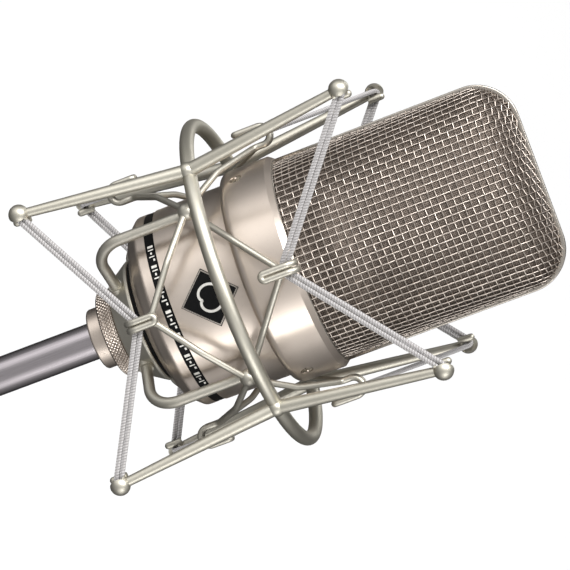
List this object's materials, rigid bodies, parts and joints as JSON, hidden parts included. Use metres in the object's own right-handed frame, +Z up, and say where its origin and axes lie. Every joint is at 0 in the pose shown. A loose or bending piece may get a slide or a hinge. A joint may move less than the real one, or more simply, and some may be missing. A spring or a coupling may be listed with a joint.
{
  "type": "suspended studio condenser microphone",
  "caption": "Large-diaphragm side-address condenser microphone with a woven wire head, hung on elastic cords in a bent-rod cage with a tilting stand mount.",
  "frame": {"origin": "centre of the mouth of the stand thread, under the swivel mount behind the cage", "axes": "+Z up along the microphone's axis, grille up; -Y towards the front, the badge side; +X to the viewer's right"},
  "size_m": [0.121, 0.1596, 0.2126],
  "materials": {
    "mic_nickel": "satin nickel plate",
    "grille_mesh": "nickel-plated woven wire",
    "gauze": "fine woven wire",
    "screw_steel": "satin",
    "band_black": "black with light markings",
    "capsule_brass": "turned",
    "diaphragm_gold": "gold-sputtered film",
    "insulator": "moulded",
    "chassis": "milled",
    "board": "fibreglass laminate",
    "capacitor_film": "wound film",
    "transformer_steel": "laminated core",
    "tube_glass": "clear",
    "connector_nickel": "nickel plate",
    "plug_steel": "polished",
    "basket_nickel": "satin nickel plate",
    "cage_nickel": "satin nickel plate",
    "cushion_rubber": "moulded",
    "elastic_cord": "braided sleeve over rubber",
    "mount_black": "black powder coat",
    "mount_steel": "zinc plate",
    "washer_fibre": "pressed fibre"
  },
  "bodies": {
    "stand_mount": {"stand_socket": "mount_black", "thread_bushing": "mount_steel", "pivot_bolt": "mount_steel", "friction_washers": "washer_fibre"},
    "cage": {"cage_ring": "cage_nickel", "ring_bracket": "cage_nickel", "rear_elastic": "elastic_cord", "front_elastic": "elastic_cord", "cage_rod_1": "cage_nickel", "cage_rod_2": "cage_nickel", "cage_rod_3": "cage_nickel", "cage_rod_4": "cage_nickel"},
    "basket": {"basket_cup": "basket_nickel", "cushion_ring": "cushion_rubber", "leg_joints": "basket_nickel", "basket_leg_1": "basket_nickel", "basket_leg_2": "basket_nickel", "basket_leg_3": "basket_nickel", "basket_leg_4": "basket_nickel", "rear_hook_1": "basket_nickel", "rear_hook_2": "basket_nickel", "rear_hook_3": "basket_nickel", "rear_hook_4": "basket_nickel", "front_hook_1": "basket_nickel", "front_hook_2": "basket_nickel", "front_hook_3": "basket_nickel", "front_hook_4": "basket_nickel", "collar_ring": "mic_nickel", "collar_screws": "screw_steel", "body_shell": "mic_nickel", "band_ring": "band_black", "bottom_shell": "mic_nickel", "badge_plate": "band_black", "grille_frame": "mic_nickel", "front_grille": "grille_mesh", "rear_grille": "grille_mesh", "front_gauze": "gauze", "rear_gauze": "gauze", "capsule_backplate": "capsule_brass", "diaphragms": "diaphragm_gold", "clamp_rings": "capsule_brass", "capsule_screws": "screw_steel", "capsule_post": "insulator", "head_plate": "chassis", "base_plate": "chassis", "chassis_posts": "chassis", "circuit_board": "board", "coupling_capacitors": "capacitor_film", "output_transformer": "transformer_steel", "tube_socket": "insulator", "amplifier_tube": "tube_glass", "connector_shell": "connector_nickel", "socket_insert": "insulator", "connector_pins": "connector_nickel", "plug_insert": "insulator", "plug_sleeve": "plug_steel"},
    "clamp_ring": {"knurled_ring": "basket_nickel"},
    "plug_collar": {"plug_nut": "connector_nickel"},
    "lever": {"locking_lever": "mount_black"}
  },
  "joints": [
    {"name": "tilt", "type": "hinge", "parent": "stand_mount", "child": "cage", "pos_m": [0, 0, 0.046], "axis": [1, 0, 0], "range_deg": [-75, 20]},
    {"name": "float", "type": "slide", "parent": "cage", "child": "basket", "axis": [0, 0, 1], "range_m": [-0.003, 0.003], "stiffness_N_per_m": 1500, "springref_m": 0.00562, "deforming": ["rear_elastic", "front_elastic"]},
    {"name": "clamp_ring_turn", "type": "hinge", "parent": "basket", "child": "clamp_ring", "pos_m": [0, -0.084, -0.0047], "axis": [0, 0, 1], "continuous": true},
    {"name": "plug_collar_turn", "type": "hinge", "parent": "basket", "child": "plug_collar", "pos_m": [0, -0.084, -0.0106], "axis": [0, 0, 1], "continuous": true},
    {"name": "lever_turn", "type": "hinge", "parent": "stand_mount", "child": "lever", "pos_m": [0.01985, 0, 0.046], "axis": [1, 0, 0], "range_deg": [0, 150]}
  ]
}
